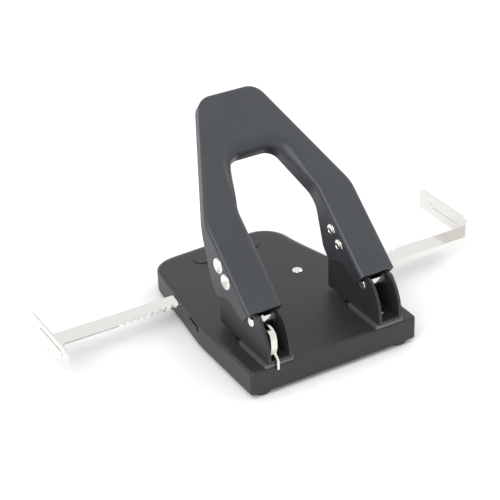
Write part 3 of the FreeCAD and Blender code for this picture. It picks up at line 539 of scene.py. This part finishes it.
class PUNCH_OT_finish_works(bpy.types.Operator):
    """Finish the pieces inside the towers and under the base: arms, punches, springs, dies and hinge"""
    bl_idname = "punch.finish_works"
    bl_label = "Finish the works"

    def execute(self, context):
        steel = tuple(context.scene.punch_paint.steel)
        kinds = {
            "spring_steel": ("spring_wire", tint(steel, 0.80), 0.30),
            "guide_block_steel": ("guide_block_steel", tint(steel, 0.50), 0.48),
            "tool_steel": ("ground_tool_steel", steel, 0.22),
            "zinc_steel": ("sheet_zinc", steel, 0.34),
        }
        # black enamel on the lever arms and their spacers: partly the arms' finish, partly painted shade
        # inside the towers
        black_and_painted_shade = finished("arm_black", enamel, tuple(context.scene.punch_paint.arms), 0.5,
                         context.scene.punch_sizes.sheet_edge)
        for node in nodes_in("arm_steel") + PAINTED_SHADE_NODES:
            smooth_copy(node, black_and_painted_shade)
        for slot, (name, colour, roughness) in kinds.items():
            metal = finished(name, plating, colour, roughness, (1.0, 3.0, 1.0))
            for node in nodes_in(slot):
                smooth_copy(node, metal)
        return {"FINISHED"}


class PUNCH_OT_mould_soft_parts(bpy.types.Operator):
    """Mould the rubber feet and the chip tray"""
    bl_idname = "punch.mould_soft_parts"
    bl_label = "Mould the feet and the tray"

    def execute(self, context):
        colours = context.scene.punch_paint
        for node in nodes_in("foot_rubber"):
            smooth_copy(node, finished("foot_rubber", rubber, tuple(colours.rubber)))
        for node in nodes_in("tray_plastic"):
            smooth_copy(node, finished("tray_plastic", moulded, tuple(colours.plastic)))
        return {"FINISHED"}


class PUNCH_OT_set_stage(bpy.types.Operator):
    """Lay the table, hang the soft lamps and place the camera"""
    bl_idname = "punch.set_stage"
    bl_label = "Set the stage"

    def execute(self, context):
        studio = context.scene.punch_studio
        low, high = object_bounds()
        self.lay_table(studio, low.z)
        self.light_room(context.scene, studio)
        middle = (low + high) / 2
        self.hang_lamp("key_lamp", middle, Vector((-0.9, -0.5, 1.0)), 1.1, studio.key)
        self.hang_lamp("side_lamp", middle, Vector((1.1, 0.2, 0.9)), 0.9, studio.side)
        self.place_camera(context.scene, studio)
        return {"FINISHED"}

    def lay_table(self, studio, level):
        form = bmesh.new()
        ground = Matrix.Translation((0, 0, level))
        bmesh.ops.create_grid(form, x_segments=8, y_segments=8, size=6.0, matrix=ground)
        mesh = bpy.data.meshes.new("table")
        form.to_mesh(mesh)
        form.free()
        white = tuple(studio.table)
        top = Finish("table_white", white, 0.9, specular=0.1)
        cloud = top.noise(3.0, 2.0)
        top.put("Base Color", top.mix(cloud, shade(white, 0.99), shade(white, 1.0)))
        mesh.materials.append(top.material)
        table = bpy.data.objects.new("table", mesh)
        bpy.context.scene.collection.objects.link(table)
        table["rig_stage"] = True

    def light_room(self, scene, studio):
        world = bpy.data.worlds.new("white_room")
        scene.world = world
        world.use_nodes = True
        room = world.node_tree.nodes["Background"]
        room.inputs["Color"].default_value = (0.97, 0.985, 1.0, 1)
        room.inputs["Strength"].default_value = studio.sky
        scene.view_settings.view_transform = "Standard"

    def hang_lamp(self, name, middle, offset, size, power):
        data = bpy.data.lights.new(name, "AREA")
        data.shape = "DISK"
        data.size = size
        data.energy = power
        lamp = bpy.data.objects.new(name, data)
        lamp.location = middle + offset
        lamp.rotation_euler = offset.to_track_quat("Z", "Y").to_euler()
        bpy.context.scene.collection.objects.link(lamp)

    def place_camera(self, scene, studio):
        data = bpy.data.cameras.new("camera")
        data.sensor_width = 36.0
        data.lens = studio.lens
        camera = bpy.data.objects.new("camera", data)
        camera.location = Vector(studio.camera_place)
        camera.rotation_euler = Euler(studio.camera_turn)
        scene.collection.objects.link(camera)
        scene.camera = camera


# ---------------------------------------------------------------- panel
STEPS = (PUNCH_OT_coat_handle, PUNCH_OT_enamel_base, PUNCH_OT_plate_guides, PUNCH_OT_plate_lever,
         PUNCH_OT_set_rivets, PUNCH_OT_finish_works, PUNCH_OT_mould_soft_parts, PUNCH_OT_set_stage)


class VIEW3D_PT_punch(bpy.types.Panel):
    """Lists the punch's settings and steps"""
    bl_label = "Paper punch"
    bl_idname = "VIEW3D_PT_punch"
    bl_space_type = "VIEW_3D"
    bl_region_type = "UI"
    bl_category = "Paper punch"

    def draw(self, context):
        for group in (context.scene.punch_paint, context.scene.punch_sizes, context.scene.punch_studio):
            box = self.layout.box()
            for name in group.__annotations__:
                box.prop(group, name)
        for step in STEPS:
            self.layout.operator(step.bl_idname)


GROUPS = {"punch_paint": PunchPaint, "punch_sizes": PunchSizes, "punch_studio": PunchStudio}


def register():
    for group in GROUPS.values():
        bpy.utils.register_class(group)
    for name, group in GROUPS.items():
        setattr(bpy.types.Scene, name, PointerProperty(type=group))
    for item in STEPS + (VIEW3D_PT_punch,):
        bpy.utils.register_class(item)


def unregister():
    for item in reversed(STEPS + (VIEW3D_PT_punch,)):
        bpy.utils.unregister_class(item)
    for name in GROUPS:
        delattr(bpy.types.Scene, name)
    for group in reversed(GROUPS.values()):
        bpy.utils.unregister_class(group)


def main():
    register()
    bpy.ops.punch.coat_handle()
    bpy.ops.punch.enamel_base()
    bpy.ops.punch.plate_guides()
    bpy.ops.punch.plate_lever()
    bpy.ops.punch.set_rivets()
    bpy.ops.punch.finish_works()
    bpy.ops.punch.mould_soft_parts()
    bpy.ops.punch.set_stage()


if __name__ == "__main__":
    main()
